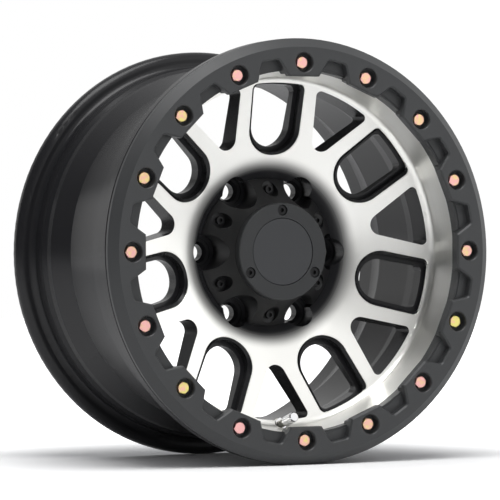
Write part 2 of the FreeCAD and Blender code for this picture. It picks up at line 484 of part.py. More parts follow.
def new_sketch(body, role, name, ahead=None, turn=None):
    """Sketch on one of the body's own planes, moved along its normal."""
    sk = body.newObject("Sketcher::SketchObject", name)
    sk.AttachmentSupport = [(origin(body, role), "")]
    sk.MapMode = "FlatFace"
    if turn is not None:
        axis, angle = turn
        sk.AttachmentOffset = FreeCAD.Placement(V(0, 0, 0), FreeCAD.Rotation(axis, val(angle)))
        sk.setExpression("AttachmentOffset.Rotation.Angle", ref(angle))
    if ahead is not None:
        sk.setExpression("AttachmentOffset.Base.z", ahead)
    return sk


def outline(sk, points):
    """Closed outline. Each point is (across, along) or (across, along, radius,
    side), where radius and side bend the run to the next point to its left or
    right."""
    count = len(points)
    place = [V(val(p[0]), val(p[1]), 0) for p in points]
    ends = []
    for i, p in enumerate(points):
        a = place[i]
        b = place[(i + 1) % count]
        if len(p) == 2:
            g = sk.addGeometry(Part.LineSegment(a, b), False)
            ends.append((g, 1, 2))
            continue
        radius = val(p[2])
        run = b - a
        left = V(-run.y, run.x, 0)
        left.normalize()
        rise = math.sqrt(max(radius ** 2 - (run.Length / 2) ** 2, 0.0))
        sign = -1.0 if p[3] == "L" else 1.0
        centre = (a + b) * 0.5 + left * (rise * sign)
        first, last = (b, a) if p[3] == "L" else (a, b)
        t0 = math.atan2(first.y - centre.y, first.x - centre.x)
        t1 = math.atan2(last.y - centre.y, last.x - centre.x)
        if t1 <= t0:
            t1 += 2 * math.pi
        circle = Part.Circle(centre, V(0, 0, 1), radius)
        g = sk.addGeometry(Part.ArcOfCircle(circle, t0, t1), False)
        ends.append((g, 2, 1) if p[3] == "L" else (g, 1, 2))
    rules = []
    for i in range(count):
        g, start, end = ends[i]
        h, other, ignore = ends[(i + 1) % count]
        rules.append(Sketcher.Constraint("Coincident", g, end, h, other))
    sk.addConstraint(rules)
    for i, p in enumerate(points):
        g, start, end = ends[i]
        pin(sk, g, start, p[0], p[1])
        if len(p) == 4:
            k = sk.addConstraint(Sketcher.Constraint("Radius", g, val(p[2])))
            sk.setExpression("Constraints[%d]" % k, ref(p[2]))


def pin(sk, g, pos, across, along):
    """Hold a point of the sketch at two sizes."""
    if across is None:
        sk.addConstraint(Sketcher.Constraint("PointOnObject", g, pos, -2))
    else:
        k = sk.addConstraint(Sketcher.Constraint("DistanceX", -1, 1, g, pos, val(across)))
        sk.setExpression("Constraints[%d]" % k, ref(across))
    if along is None:
        sk.addConstraint(Sketcher.Constraint("PointOnObject", g, pos, -1))
    else:
        k = sk.addConstraint(Sketcher.Constraint("DistanceY", -1, 1, g, pos, val(along)))
        sk.setExpression("Constraints[%d]" % k, ref(along))


def ring(sk, across, along, radius):
    """Circle at two sizes with the radius of a third."""
    circle = Part.Circle(V(val(across), val(along), 0), V(0, 0, 1), val(radius))
    g = sk.addGeometry(circle, False)
    pin(sk, g, 3, across, along)
    k = sk.addConstraint(Sketcher.Constraint("Radius", g, val(radius)))
    sk.setExpression("Constraints[%d]" % k, ref(radius))


def hexagon(sk, across, along, radius):
    """Regular hexagon at two sizes, corners at the radius, flats to the sides."""
    centre = V(val(across), val(along), 0)
    size = val(radius)
    corner = []
    for i in range(6):
        angle = math.radians(90 + 60 * i)
        corner.append(centre + V(math.cos(angle), math.sin(angle), 0) * size)
    for i in range(6):
        sk.addGeometry(Part.LineSegment(corner[i], corner[(i + 1) % 6]), False)
    guide = sk.addGeometry(Part.Circle(centre, V(0, 0, 1), size), True)
    rules = [Sketcher.Constraint("Coincident", i, 2, (i + 1) % 6, 1) for i in range(6)]
    rules += [Sketcher.Constraint("PointOnObject", i, 1, guide) for i in range(6)]
    rules += [Sketcher.Constraint("Equal", 0, i) for i in range(1, 6)]
    rules.append(Sketcher.Constraint("Vertical", 1))
    sk.addConstraint(rules)
    pin(sk, guide, 3, across, along)
    k = sk.addConstraint(Sketcher.Constraint("Radius", guide, size))
    sk.setExpression("Constraints[%d]" % k, ref(radius))


def check(feature):
    doc.recompute()
    bad = [s for s in feature.State if s in ("Invalid", "Error")]
    if bad or feature.Shape.isNull() or not feature.Shape.isValid():
        raise RuntimeError("%s did not build" % feature.Name)
    return feature


def revolve(body, sk, name):
    feat = body.newObject("PartDesign::Revolution", name)
    feat.Profile = sk
    feat.ReferenceAxis = (sk, ["V_Axis"])
    feat.Angle = 360
    return check(feat)


def pad(body, sk, length, name):
    feat = body.newObject("PartDesign::Pad", name)
    feat.Profile = sk
    feat.setExpression("Length", length)
    return check(feat)


def pocket(body, sk, length, name, taper=None, back=False):
    """Cut along the wheel; a cut that removes nothing stops the build."""
    before = body.Shape.Volume
    feat = body.newObject("PartDesign::Pocket", name)
    feat.Profile = sk
    feat.Reversed = back
    feat.setExpression("Length", length)
    if taper is not None:
        feat.setExpression("TaperAngle", taper)
    check(feat)
    if feat.Shape.Volume > before - 0.5:
        raise RuntimeError("%s cuts nothing" % name)
    return feat


def polar(body, features, count, name):
    feat = body.newObject("PartDesign::PolarPattern", name)
    feat.Originals = features
    feat.Axis = (origin(body, "Y_Axis"), [""])
    feat.Angle = 360
    feat.setExpression("Occurrences", "sizes." + count)
    body.Tip = feat
    return check(feat)


AHEAD = "sizes.front_plane"
X_AXIS = V(1, 0, 0)
Z_AXIS = V(0, 0, 1)

# Casting: rim, spokes and hub in one piece.
casting = new_body("wheel_casting")
sk = new_sketch(casting, "XY_Plane", "casting_section")
outline(sk, [
    ("hub_bore_r", "hub_pad_y"),
    ("cap_seat_r", "hub_pad_y"),
    ("cap_seat_r", "valley_y", "shoulder_round", "R"),
    ("shoulder_r", "shoulder_y"),
    ("flare_foot_r", "flare_foot_y", "flare_fillet", "L"),
    ("flare_low_r", "flare_low_y"),
    ("flare_top_r", "ring_seat_y"),
    ("register_r", "ring_seat_y"),
    ("register_r", "lip_front_y"),
    ("lip_edge_r", "lip_front_y", "lip_edge_fillet", "R"),
    ("rim_r", "lip_edge_y"),
    ("rim_r", "lip_back_y", "lip_back_fillet", "R"),
    ("lip_back_r", "flange_in_y"),
    ("bead_heel_r", "flange_in_y", "bead_heel_fillet", "L"),
    ("bead_seat_r", "bead_heel_y"),
    ("bead_toe_r", "bead_toe_y"),
    ("hump_r", "hump_y"),
    ("ledge_r", "hump_end_y"),
    ("ledge_r", "ledge_end_y"),
    ("well_r", "well_front_y"),
    ("well_r", "well_back_y"),
    ("rise_r", "rise_y"),
    ("rear_foot_r", "rear_foot_y"),
    ("rear_hump_r", "rear_hump_y"),
    ("rear_toe_r", "rear_toe_y"),
    ("bead_seat_r", "rear_heel_y", "bead_heel_fillet", "L"),
    ("bead_heel_r", "rear_flange_y"),
    ("flange_root_r", "rear_flange_y", "flange_roll", "R"),
    ("rim_r", "rear_lip_y"),
    ("rim_r", "rear_edge_y", "rear_edge_fillet", "R"),
    ("rear_edge_r", "rear_end_y"),
    ("rear_mouth_r", "rear_end_y"),
    ("rear_back_r", "rear_back_y"),
    ("rear_bore_r", "rear_bore_y"),
    ("hump_bore_r", "rear_foot_y"),
    ("rise_bore_r", "rise_bore_y"),
    ("well_bore_r", "well_bore_back_y"),
    ("well_bore_r", "well_front_y"),
    ("spoke_root_r", "spoke_root_y", "spoke_root_fillet", "L"),
    ("spoke_back_r", "spoke_back_y"),
    ("hub_back_r", "hub_back_y"),
    ("hub_wall_r", "hub_wall_y"),
    ("hub_face_r", None),
    ("hub_chamfer_r", None),
    ("hub_bore_r", "hub_chamfer_y"),
])
revolve(casting, sk, "casting_blank")

# Wide windows: a painted bevel, an upper wall, a ledge and the through opening.
# The first two are cut square to the sloped face, the opening along the axle.
ON_DISH = "sizes.dish_plane + sizes.bevel_lead / cos(sizes.dish_tilt)"
SLOPED = (X_AXIS, "dish_tilt")
sk = new_sketch(casting, "XZ_Plane", "wide_through", AHEAD)
outline(sk, [
    ("low_side_u", "win_side_v", "win_corner", "R"),
    ("low_arc_u", "low_arc_v", "window_out_r", "R"),
    ("-low_arc_u", "low_arc_v", "win_corner", "R"),
    ("-low_side_u", "win_side_v"),
    ("-low_foot_u", "low_foot_v", "low_foot_round", "R"),
    (None, "low_in_r", "low_foot_round", "R"),
    ("low_foot_u", "low_foot_v"),
])
wide_low = pocket(casting, sk, "sizes.front_plane", "wide_opening")
sk = new_sketch(casting, "XZ_Plane", "wide_wall", ON_DISH, SLOPED)
outline(sk, [
    ("mid_side_u", "mid_side_v", "win_corner", "R"),
    ("mid_arc_u", "mid_arc_v", "mid_round", "R"),
    ("-mid_arc_u", "mid_arc_v", "win_corner", "R"),
    ("-mid_side_u", "mid_side_v"),
    ("-mid_foot_u", "mid_foot_v", "mid_foot_round", "R"),
    (None, "mid_in_v", "mid_foot_round", "R"),
    ("mid_foot_u", "mid_foot_v"),
])
LEDGE = "sizes.bevel_lead + sizes.win_ledge_depth * cos(sizes.dish_tilt)"
wide_mid = pocket(casting, sk, LEDGE, "wide_upper")
sk = new_sketch(casting, "XZ_Plane", "wide_edge", ON_DISH, SLOPED)
outline(sk, [
    ("bev_side_u", "bev_side_v", "bev_corner", "R"),
    ("bev_arc_u", "bev_arc_v", "bev_top_round", "R"),
    ("-bev_arc_u", "bev_arc_v", "bev_corner", "R"),
    ("-bev_side_u", "bev_side_v"),
    ("-bev_foot_u", "bev_foot_v", "bev_foot_round", "R"),
    (None, "bev_in_v", "bev_foot_round", "R"),
    ("bev_foot_u", "bev_foot_v"),
])
wide_bev = pocket(casting, sk, "sizes.bevel_lead + sizes.win_bevel", "wide_bevel", "-sizes.edge_angle")
polar(casting, [wide_low, wide_mid, wide_bev], "window_count", "wide_windows")

# Vee windows between them, their walls drawn in a little towards the back.
sk = new_sketch(casting, "XZ_Plane", "vee_through", "sizes.vee_plane")
outline(sk, [
    ("vee_side_u", "-vee_side_v"),
    ("vee_foot_u", "-vee_foot_v", "vee_foot_round", "R"),
    ("-vee_foot_u", "-vee_foot_v"),
    ("-vee_side_u", "-vee_side_v", "vee_corner", "R"),
    ("-vee_arc_u", "-vee_arc_v", "window_out_r", "R"),
    ("vee_arc_u", "-vee_arc_v", "vee_corner", "R"),
])
vee = pocket(casting, sk, "sizes.vee_depth", "vee_opening", "-sizes.vee_draft")
polar(casting, [vee], "window_count", "vee_windows")

# Wheel bolt holes: a deep pocket, a conical seat and a through hole.
sk = new_sketch(casting, "XZ_Plane", "lug_pocket_sketch", AHEAD)
ring(sk, "lug_r", None, "lug_pocket_r")
lug_a = pocket(casting, sk, "sizes.front_plane + sizes.lug_floor_y", "lug_pocket")
sk = new_sketch(casting, "XZ_Plane", "lug_hole_sketch", AHEAD)
ring(sk, "lug_r", None, "lug_hole_r")
lug_b = pocket(casting, sk, "sizes.front_plane + sizes.overrun", "lug_hole")
sk = new_sketch(casting, "XZ_Plane", "lug_seat_sketch", "-sizes.lug_floor_y")
ring(sk, "lug_r", None, "lug_seat_r")
lug_c = pocket(casting, sk, "sizes.lug_seat_depth", "lug_seat", "-sizes.lug_seat_angle")
polar(casting, [lug_a, lug_b, lug_c], "lug_count", "lug_holes")

# Tapped holes for the cap screws and the ring bolts.
sk = new_sketch(casting, "XZ_Plane", "cap_tap_sketch", AHEAD)
ring(sk, None, "screw_r", "screw_tap_r")
tap = pocket(casting, sk, "sizes.front_plane + sizes.screw_hole_y", "cap_tap")
polar(casting, [tap], "lug_count", "cap_taps")
sk = new_sketch(casting, "XZ_Plane", "ring_tap_sketch", AHEAD)
ring(sk, None, "bolt_ring_r", "bolt_tap_r")
tap = pocket(casting, sk, "sizes.front_plane + sizes.bolt_hole_y", "ring_tap")
polar(casting, [tap], "ring_count", "ring_taps")


def valve_sketch(body, name, along):
    """Sketch square to the valve's axis, at a distance from its pocket floor."""
    sk = new_sketch(body, "XZ_Plane", name, None, (X_AXIS, "valve_tilt"))
    sk.setExpression("AttachmentOffset.Base.y", "-sizes.valve_r - (%s) * sin(sizes.valve_tilt)" % along)
    sk.setExpression("AttachmentOffset.Base.z", "-sizes.valve_y + (%s) * cos(sizes.valve_tilt)" % along)
    return sk


# Valve hole: a pocket from the front, a hole and a spot face on the tyre side.
sk = valve_sketch(casting, "valve_pocket_sketch", "sizes.valve_pocket_top")
ring(sk, None, None, "valve_pocket_r")
pocket(casting, sk, "sizes.valve_pocket_top", "valve_pocket")
sk = valve_sketch(casting, "valve_hole_sketch", "sizes.overrun")
ring(sk, None, None, "valve_hole_r")
pocket(casting, sk, "sizes.valve_spot + 2 * sizes.overrun", "valve_hole")
sk = valve_sketch(casting, "valve_spot_sketch", "-sizes.valve_spot")
ring(sk, None, None, "valve_spot_r")
pocket(casting, sk, "sizes.valve_spot_room", "valve_spot_face")

# Trim ring: sixteen pads with counterbored bolts, and notches between them.
trim = new_body("beadlock_ring")
sk = new_sketch(trim, "XY_Plane", "ring_section")
outline(sk, [
    ("ring_blank_r", "ring_face_y"),
    ("ring_bevel_r", "ring_face_y"),
    ("rim_r", "ring_bevel_y"),
    ("rim_r", "ring_edge_y"),
    ("ring_edge_r", "ring_back_y"),
    ("ring_register_r", "ring_back_y"),
    ("ring_register_r", "ring_seat_y"),
    ("ring_in_r", "ring_seat_y"),
    ("ring_in_r", "ring_shelf_y"),
    ("ring_blank_r", "ring_shelf_y"),
])
revolve(trim, sk, "ring_blank")
sk = new_sketch(trim, "XZ_Plane", "pad_edge_sketch", AHEAD)
outline(sk, [
    ("pad_half", "pad_chord"),
    ("-pad_half", "pad_chord"),
    ("-pad_half", "pad_cut"),
    ("pad_half", "pad_cut"),
])
pad_a = pocket(trim, sk, "sizes.front_plane + sizes.ring_shelf_y + sizes.overrun", "pad_edge")
sk = new_sketch(trim, "XZ_Plane", "pad_step_sketch", "-sizes.pad_step_y")
outline(sk, [
    ("pad_step_half", "pad_step_chord"),
    ("-pad_step_half", "pad_step_chord"),
    ("-pad_step_half", "pad_cut"),
    ("pad_step_half", "pad_cut"),
])
pad_b = pocket(trim, sk, "sizes.ring_shelf_y - sizes.pad_step_y + sizes.overrun", "pad_step")
sk = new_sketch(trim, "XZ_Plane", "bolt_bore_sketch", AHEAD)
ring(sk, None, "bolt_ring_r", "bolt_bore_r")
pad_c = pocket(trim, sk, "sizes.front_plane + sizes.bolt_seat_y", "bolt_bore")
sk = new_sketch(trim, "XZ_Plane", "bolt_edge_sketch", "-sizes.ring_face_y")
ring(sk, None, "bolt_ring_r", "bolt_bore_edge_r")
pad_d = pocket(trim, sk, "sizes.bolt_bore_edge", "bolt_bore_bevel", "-sizes.edge_angle")
sk = new_sketch(trim, "XZ_Plane", "bolt_hole_sketch", AHEAD)
ring(sk, None, "bolt_ring_r", "bolt_clear_r")
pad_e = pocket(trim, sk, "sizes.front_plane", "bolt_hole")
polar(trim, [pad_a, pad_b, pad_c, pad_d, pad_e], "ring_count", "pads")
TURNED = (Z_AXIS, "notch_turn")
sk = new_sketch(trim, "XZ_Plane", "notch_sketch", AHEAD, TURNED)
outline(sk, [
    ("notch_in_u", "notch_in_v"),
    ("notch_side_u", "notch_side_v", "notch_corner", "R"),
    ("notch_top_u", "notch_top_v"),
    ("-notch_top_u", "notch_top_v", "notch_corner", "R"),
    ("-notch_side_u", "notch_side_v"),
    ("-notch_in_u", "notch_in_v"),
])
notch_a = pocket(trim, sk, "sizes.front_plane + sizes.notch_floor_y", "notch")
sk = new_sketch(trim, "XZ_Plane", "notch_gap_sketch", AHEAD, TURNED)
outline(sk, [
    ("notch_in_u", "notch_in_v"),
    ("gap_side_u", "gap_side_v", "ring_in_r", "R"),
    ("-gap_side_u", "gap_side_v"),
    ("-notch_in_u", "notch_in_v"),
])
notch_c = pocket(trim, sk, "sizes.front_plane + sizes.ring_shelf_y + sizes.overrun", "notch_gap")
sk = new_sketch(trim, "XZ_Plane", "notch_groove_sketch", AHEAD, TURNED)
outline(sk, [
    ("notch_in_u", "notch_in_v"),
    ("groove_side_u", "groove_side_v", "groove_r", "R"),
    ("-groove_side_u", "groove_side_v"),
    ("-notch_in_u", "notch_in_v"),
])
notch_d = pocket(trim, sk, "sizes.front_plane + sizes.groove_y", "notch_groove")
notches = polar(trim, [notch_a, notch_c, notch_d], "ring_count", "notches")


def front_edges(shape):
    """Edges of the pads and notches in the ring's front face, without the
    round edges of the bevel and of the counterbores."""
    names = []
    face_y = val("ring_face_y")
    for i, edge in enumerate(shape.Edges, start=1):
        if any(abs(v.Point.y - face_y) > 0.01 for v in edge.Vertexes):
            continue
        round_edge = edge.Curve.TypeId == "Part::GeomCircle"
        if round_edge and edge.Curve.Radius > val("notch_corner") + 0.5:
            continue
        names.append("Edge%d" % i)
    return names


edge_cut = trim.newObject("PartDesign::Chamfer", "notch_bevels")
edge_cut.Base = (notches, front_edges(notches.Shape))
edge_cut.setExpression("Size", "sizes.notch_bevel")
check(edge_cut)

# Ring bolts: hex heads with a turned crown, low in their counterbores.
bolts = new_body("ring_bolts")
bolts.AllowCompound = True
sk = new_sketch(bolts, "XZ_Plane", "bolt_hex_sketch", "-sizes.bolt_seat_y")
hexagon(sk, None, "bolt_ring_r", "bolt_corner_r")
bolt_a = pad(bolts, sk, "sizes.bolt_head_h", "bolt_hex")
sk = new_sketch(bolts, "XZ_Plane", "bolt_shank_sketch", "-sizes.bolt_end_y")
ring(sk, None, "bolt_ring_r", "bolt_r")
bolt_b = pad(bolts, sk, "sizes.bolt_end_y - sizes.bolt_seat_y", "bolt_shank")
sk = new_sketch(bolts, "YZ_Plane", "bolt_crown_sketch")
outline(sk, [
    ("bolt_top_y", "bolt_crown_v"),
    ("bolt_top_y", "bolt_crown_out_v"),
    ("bolt_crown_y", "bolt_crown_out_v"),
])
near = V(val("bolt_top_y"), val("bolt_ring_r"), 0)
far = V(0, val("bolt_ring_r"), 0)
middle = sk.addGeometry(Part.LineSegment(near, far), True)
pin(sk, middle, 1, "bolt_top_y", "bolt_ring_r")
pin(sk, middle, 2, None, "bolt_ring_r")
bolt_c = bolts.newObject("PartDesign::Groove", "bolt_crown")
bolt_c.Profile = sk
bolt_c.ReferenceAxis = (sk, ["Axis0"])
bolt_c.Angle = 360
check(bolt_c)
polar(bolts, [bolt_a, bolt_b, bolt_c], "ring_count", "bolt_set")

# Centre cap: a hollow cone with a cut for each wheel nut and six deep screws.
cap = new_body("centre_cap")
sk = new_sketch(cap, "XY_Plane", "cap_section")
outline(sk, [
    (None, "cap_top_y"),
    (None, "cap_crown_y"),
    ("cap_crown_r", "cap_crown_y"),
    ("cap_hollow_r", "cap_hollow_y"),
    ("cap_hollow_r", "hub_pad_y"),
    ("cap_r", "hub_pad_y"),
    ("cap_r", "cap_edge_y", "cap_flank_round", "R"),
    ("cap_top_r", "cap_top_y"),
])
revolve(cap, sk, "cap_blank")
sk = new_sketch(cap, "XZ_Plane", "scoop_sketch", AHEAD)
ring(sk, "lug_r", None, "scoop_r")
cap_a = pocket(cap, sk, "sizes.front_plane", "scoop")
sk = new_sketch(cap, "XZ_Plane", "screw_pocket_sketch", AHEAD)
ring(sk, None, "screw_r", "screw_pocket_r")
cap_b = pocket(cap, sk, "sizes.front_plane + sizes.screw_seat_y", "screw_pocket")
sk = new_sketch(cap, "XZ_Plane", "screw_hole_sketch", AHEAD)
ring(sk, None, "screw_r", "screw_clear_r")
cap_c = pocket(cap, sk, "sizes.front_plane", "screw_hole")
polar(cap, [cap_a, cap_b, cap_c], "lug_count", "cap_cuts")
sk = new_sketch(cap, "XZ_Plane", "bezel_tap_sketch", AHEAD)
ring(sk, None, "bezel_screw_r", "screw_tap_r")
cap_d = pocket(cap, sk, "sizes.front_plane + sizes.bezel_tap_y", "bezel_tap")
polar(cap, [cap_d], "bezel_screw_count", "bezel_taps")


def cap_screw(label, circle, head_y, head_r, head_h, seat_y, end_y, count):
    """Socket head screws on a circle: head, hex socket and shank."""
    body = new_body(label)
    body.AllowCompound = True
    sk = new_sketch(body, "XZ_Plane", label + "_head_sketch", "-sizes." + seat_y)
    ring(sk, None, circle, head_r)
    head = pad(body, sk, "sizes." + head_h, label + "_head")
    sk = new_sketch(body, "XZ_Plane", label + "_shank_sketch", "-sizes." + end_y)
    ring(sk, None, circle, "screw_shank_r")
    shank = pad(body, sk, "sizes.%s - sizes.%s" % (end_y, seat_y), label + "_shank")
    sk = new_sketch(body, "XZ_Plane", label + "_socket_sketch", "-sizes." + head_y)
    hexagon(sk, None, circle, "socket_r")
    socket = pocket(body, sk, "sizes.socket_depth", label + "_socket")
    polar(body, [head, shank, socket], count, label + "_set")
    return body


cap_screws = cap_screw("cap_screws", "screw_r", "screw_head_y", "screw_head_r", "screw_head_h",
                       "screw_seat_y", "screw_end_y", "lug_count")
bezel_screws = cap_screw("bezel_screws", "bezel_screw_r", "bezel_head_y", "bezel_head_r", "bezel_head_h",
                         "bezel_seat_y", "bezel_screw_end_y", "bezel_screw_count")

# Bezel: a round plate with a recess for the disc and three screw pockets.
bezel = new_body("cap_bezel")
sk = new_sketch(bezel, "XY_Plane", "bezel_section")
outline(sk, [
    (None, "disc_back_y"),
    (None, "cap_top_y"),
    ("bezel_r", "cap_top_y"),
    ("bezel_r", "bezel_edge_y"),
    ("bezel_edge_r", "bezel_face_y"),
    ("disc_hole_r", "bezel_face_y"),
    ("disc_hole_r", "disc_back_y"),
])
revolve(bezel, sk, "bezel_blank")
sk = new_sketch(bezel, "XZ_Plane", "bezel_pocket_sketch", AHEAD)
ring(sk, None, "bezel_screw_r", "bezel_pocket_r")
bez_a = pocket(bezel, sk, "sizes.front_plane + sizes.bezel_seat_y", "bezel_pocket")
sk = new_sketch(bezel, "XZ_Plane", "bezel_hole_sketch", AHEAD)
ring(sk, None, "bezel_screw_r", "screw_clear_r")
bez_b = pocket(bezel, sk, "sizes.front_plane", "bezel_hole")
polar(bezel, [bez_a, bez_b], "bezel_screw_count", "bezel_cuts")

# Disc in the middle of the bezel, left plain.
disc = new_body("cap_disc")
sk = new_sketch(disc, "XY_Plane", "disc_section")
outline(sk, [
    (None, "disc_face_y"),
    (None, "disc_back_y"),
    ("disc_r", "disc_back_y"),
    ("disc_r", "disc_edge_y"),
    ("disc_edge_r", "disc_face_y"),
])
revolve(disc, sk, "disc_blank")


def valve_part(label, points):
    """Turned piece on the valve's axis: its section is drawn about its own Y
    and the body is then laid along the valve."""
    body = new_body(label)
    sk = new_sketch(body, "XY_Plane", label + "_section")
    outline(sk, points)
    revolve(body, sk, label + "_blank")
    return body


def lay_on_valve(body):
    """Put a turned piece in the valve's pocket, its +Y towards the tip."""
    tilt = math.radians(val("valve_tilt"))
    tip = V(0, -math.cos(tilt), -math.sin(tilt))
    floor = V(0, val("valve_y"), -val("valve_r"))
    body.Placement = FreeCAD.Placement(floor, FreeCAD.Rotation(V(0, 1, 0), tip))
    body.setExpression("Placement.Base.y", "sizes.valve_y")
    body.setExpression("Placement.Base.z", "-sizes.valve_r")


# Valve: stem with its head on the tyre side, rubber washer, steel washer, nut.
stem = valve_part("valve_stem", [
    ("stem_bore_r", "below_head"),
    ("stem_head_r", "below_head"),
    ("stem_head_r", "below_grommet"),
    ("stem_r", "below_grommet"),
    ("stem_r", "stem_top"),
    ("stem_bore_r", "stem_top"),
])
grommet = valve_part("valve_grommet", [
    ("stem_hole_r", "below_grommet"),
    ("grommet_r", "below_grommet"),
    ("grommet_r", "below_spot"),
    ("grommet_neck_r", "below_spot"),
    ("grommet_neck_r", "neck_top"),
    ("stem_hole_r", "neck_top"),
])
washer = valve_part("valve_washer", [
    ("stem_hole_r", None),
    ("washer_r", None),
    ("washer_r", "washer_h"),
    ("stem_hole_r", "washer_h"),
])
core = valve_part("valve_core", [
    ("core_hole_r", "core_foot"),
    ("core_r", "core_foot"),
    ("core_r", "core_top"),
    ("core_hole_r", "core_top"),
])
plunger = valve_part("valve_pin", [
    (None, "pin_foot"),
    ("pin_cup_r", "pin_foot"),
    ("pin_cup_r", "pin_cup_top"),
    ("core_pin_r", "pin_cup_top"),
    ("core_pin_r", "core_pin_top"),
    (None, "core_pin_top"),
])
vcap = valve_part("valve_cap", [
    ("vcap_bore_r", "vcap_foot"),
    ("vcap_r", "vcap_foot"),
    ("vcap_r", "vcap_edge_top"),
    ("vcap_edge_r", "vcap_top"),
    (None, "vcap_top"),
    (None, "vcap_bore_top"),
    ("vcap_bore_r", "vcap_bore_top"),
])
nut = new_body("valve_nut")
sk = new_sketch(nut, "XZ_Plane", "nut_sketch", "-sizes.nut_top")
hexagon(sk, None, None, "nut_corner_r")
pad(nut, sk, "sizes.nut_h", "nut_hex")
sk = new_sketch(nut, "XZ_Plane", "nut_hole_sketch", AHEAD)
ring(sk, None, None, "stem_hole_r")
pocket(nut, sk, "sizes.front_plane * 2", "nut_hole")
for piece in (stem, grommet, washer, core, plunger, vcap, nut):
    lay_on_valve(piece)
doc.recompute()

# One file per piece.
os.makedirs("parts", exist_ok=True)
PIECES = [casting, trim, bolts, cap, cap_screws, bezel, bezel_screws, disc,
          stem, grommet, washer, nut, core, plunger, vcap]
for body in PIECES:
    shape = body.Shape
    state = [s for s in body.State if s in ("Invalid", "Error")]
    if state or shape.isNull() or not shape.isValid():
        raise RuntimeError("%s is not a sound solid" % body.Label)
    shape.exportStep("parts/%s.step" % body.Label)
    box = shape.BoundBox
    print(body.Label, len(shape.Solids), round(shape.Volume), [round(v, 1) for v in (
        box.XMin, box.XMax, box.YMin, box.YMax, box.ZMin, box.ZMax)])
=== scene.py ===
# %% [markdown]
# # An off-road wheel on a white floor
#
# The shapes come from the CAD model. This lesson dresses them: bare turned
# metal and satin paint on one casting, plated bolts, soft light, and a camera
# that stands where the photograph was taken from.

# %% Load the part
import math
import bpy
from mathutils import Matrix, Vector


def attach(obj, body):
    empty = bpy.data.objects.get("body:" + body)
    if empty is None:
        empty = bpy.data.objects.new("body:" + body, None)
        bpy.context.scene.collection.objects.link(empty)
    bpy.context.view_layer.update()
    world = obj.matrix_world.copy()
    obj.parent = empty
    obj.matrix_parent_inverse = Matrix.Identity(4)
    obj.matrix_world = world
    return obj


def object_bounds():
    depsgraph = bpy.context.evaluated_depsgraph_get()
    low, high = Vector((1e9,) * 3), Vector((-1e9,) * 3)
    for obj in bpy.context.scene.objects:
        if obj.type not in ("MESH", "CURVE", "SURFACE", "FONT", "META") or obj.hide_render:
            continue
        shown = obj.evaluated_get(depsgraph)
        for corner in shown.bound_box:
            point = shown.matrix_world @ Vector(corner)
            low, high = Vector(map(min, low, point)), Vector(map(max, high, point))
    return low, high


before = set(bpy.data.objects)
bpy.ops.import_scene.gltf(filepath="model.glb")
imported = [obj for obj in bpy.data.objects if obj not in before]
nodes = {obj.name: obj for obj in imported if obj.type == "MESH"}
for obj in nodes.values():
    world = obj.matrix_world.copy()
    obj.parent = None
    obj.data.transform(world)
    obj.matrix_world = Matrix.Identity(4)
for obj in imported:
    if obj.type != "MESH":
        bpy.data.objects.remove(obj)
size_at_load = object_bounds()
print("nodes:", sorted(nodes))

# %% [markdown]
# ## Small tools
#
# Colours are written as on a paint card, in sRGB, and turned into the linear
# values that a renderer adds up. One function adds any node: it takes the kind
# of node, what goes into each input, and the node's settings.

# %% Small tools
MM = 0.001


def linear(hex_colour):
    """sRGB hex to linear RGBA."""
    out = []
    for i in (0, 2, 4):
        c = int(hex_colour[i:i + 2], 16) / 255
        out.append(c / 12.92 if c <= 0.04045 else ((c + 0.055) / 1.055) ** 2.4)
    return (*out, 1.0)


def add(tree, kind, inputs=None, **settings):
    """Add a node; an input's value is a plain value or another node's output."""
    made = tree.nodes.new(kind)
    for key, value in settings.items():
        setattr(made, key, value)
    for key, value in (inputs or {}).items():
        if isinstance(value, bpy.types.NodeSocket):
            tree.links.new(value, made.inputs[key])
        else:
            made.inputs[key].default_value = value
    return made


def new_material(name):
    """Empty material with its tree, its surface shader and object coordinates."""
    mat = bpy.data.materials.new(name)
    mat.use_nodes = True
    tree = mat.node_tree
    tree.nodes.clear()
    surface = add(tree, "ShaderNodeBsdfPrincipled")
    add(tree, "ShaderNodeOutputMaterial", {"Surface": surface.outputs[0]})
    place = add(tree, "ShaderNodeTexCoord").outputs["Object"]
    return mat, tree, surface, place


def dress(mat, *names):
    """Give CAD nodes one material."""
    for name in names:
        nodes[name].data.materials.clear()
        nodes[name].data.materials.append(mat)
    print(mat.name, "on", ", ".join(names))


print("mid grey 808080 is", round(linear("808080")[0], 3), "in linear light")

# %% [markdown]
# ## Paint, plastic, rubber and plain metals
#
# Powder coat, moulded plastic, rubber and plated metal differ in colour, gloss
# and grain. All could be image textures, but a noise needs no file and keeps
# its real size on every piece: its scale is one over the grain in metres. A
# fine noise gives the grain of the surface as a bump, and a broad one shifts
# the gloss a little, as handling and spraying do. Real grain is often finer
# than a tenth of a millimetre. It is drawn 0.4 to 0.9 mm wide. That is still
# under a pixel from this camera, about 1 mm, so it is meant for closer views.

# %% Paint, plastic, rubber and plain metals
CLOUD = 35 * MM
GLOSS_SWING = 0.05


